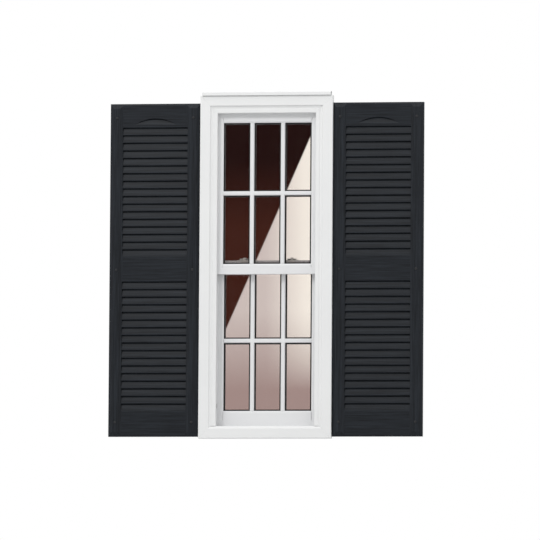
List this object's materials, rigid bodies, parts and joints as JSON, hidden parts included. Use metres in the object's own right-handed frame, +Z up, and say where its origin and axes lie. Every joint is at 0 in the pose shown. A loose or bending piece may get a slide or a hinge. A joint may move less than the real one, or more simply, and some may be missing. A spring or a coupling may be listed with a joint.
{
  "type": "louvred shutters with a double-hung window",
  "caption": "Pair of fixed moulded louvred shutters with an arched top rail, on both sides of a cased white double-hung window with grilles, two sliding sashes and sash locks.",
  "frame": {"origin": "centre of the rectangle of the shutters' outer corner screws, on the wall's face", "axes": "+X to the right seen from outside, +Y into the wall, +Z up"},
  "size_m": [1.3228, 0.127, 1.455],
  "materials": {
    "charcoal_vinyl": "moulded satin with a fine vertical grain",
    "white_casing": "satin cellular board",
    "white_vinyl": "satin extruded vinyl",
    "tinted_glass": "clear, dark warm tint",
    "dark_spacer": "matt",
    "dark_rubber": "matt",
    "grey_pile": "woven pile",
    "galvanised_steel": "galvanised",
    "steel_screw": "zinc plated",
    "black_screw": "black painted head",
    "lock_metal": "white enamel on die casting"
  },
  "bodies": {
    "frame": {"left_shutter": "charcoal_vinyl", "right_shutter": "charcoal_vinyl", "left_shutter_screws": "black_screw", "right_shutter_screws": "black_screw", "head_cap": "white_casing", "casing_head": "white_casing", "casing_left": "white_casing", "casing_right": "white_casing", "casing_sill": "white_casing", "frame_head": "white_vinyl", "frame_sill": "white_vinyl", "frame_left_jamb": "white_vinyl", "frame_right_jamb": "white_vinyl", "left_outer_balance_tube": "galvanised_steel", "right_outer_balance_tube": "galvanised_steel", "left_inner_balance_tube": "galvanised_steel", "right_inner_balance_tube": "galvanised_steel", "balance_screws": "steel_screw", "sash_stops": "dark_rubber"},
    "upper_sash": {"upper_sash_left_stile": "white_vinyl", "upper_sash_right_stile": "white_vinyl", "upper_sash_top_rail": "white_vinyl", "upper_sash_meeting_rail": "white_vinyl", "upper_outer_glass": "tinted_glass", "upper_inner_glass": "tinted_glass", "upper_glass_spacer": "dark_spacer", "upper_spacer_bars": "dark_spacer", "upper_outer_muntins": "white_vinyl", "upper_inner_muntins": "white_vinyl", "upper_glazing_beads": "white_vinyl", "left_lock_keeper": "lock_metal", "right_lock_keeper": "lock_metal", "keeper_screws": "steel_screw", "meeting_rail_pile": "grey_pile", "left_outer_balance_rod": "galvanised_steel", "right_outer_balance_rod": "galvanised_steel"},
    "lower_sash": {"lower_sash_left_stile": "white_vinyl", "lower_sash_right_stile": "white_vinyl", "lower_sash_bottom_rail": "white_vinyl", "lower_sash_meeting_rail": "white_vinyl", "lower_outer_glass": "tinted_glass", "lower_inner_glass": "tinted_glass", "lower_glass_spacer": "dark_spacer", "lower_spacer_bars": "dark_spacer", "lower_outer_muntins": "white_vinyl", "lower_inner_muntins": "white_vinyl", "lower_glazing_beads": "white_vinyl", "left_lock_base": "lock_metal", "right_lock_base": "lock_metal", "lock_screws": "steel_screw", "lift_rail": "white_vinyl", "bottom_seal": "dark_rubber", "left_inner_balance_rod": "galvanised_steel", "right_inner_balance_rod": "galvanised_steel"},
    "left_cam": {"left_lock_cam": "lock_metal"},
    "right_cam": {"right_lock_cam": "lock_metal"}
  },
  "joints": [
    {"name": "upper_sash_slide", "type": "slide", "parent": "frame", "child": "upper_sash", "axis": [0, 0, 1], "range_m": [-0.54, 0]},
    {"name": "lower_sash_slide", "type": "slide", "parent": "frame", "child": "lower_sash", "axis": [0, 0, 1], "range_m": [0, 0.54]},
    {"name": "left_lock_turn", "type": "hinge", "parent": "lower_sash", "child": "left_cam", "pos_m": [-0.1, 0.051, 0.043], "axis": [0, 0, 1], "range_deg": [0, 92]},
    {"name": "right_lock_turn", "type": "hinge", "parent": "lower_sash", "child": "right_cam", "pos_m": [0.1, 0.051, 0.043], "axis": [0, 0, -1], "range_deg": [0, 92]}
  ]
}
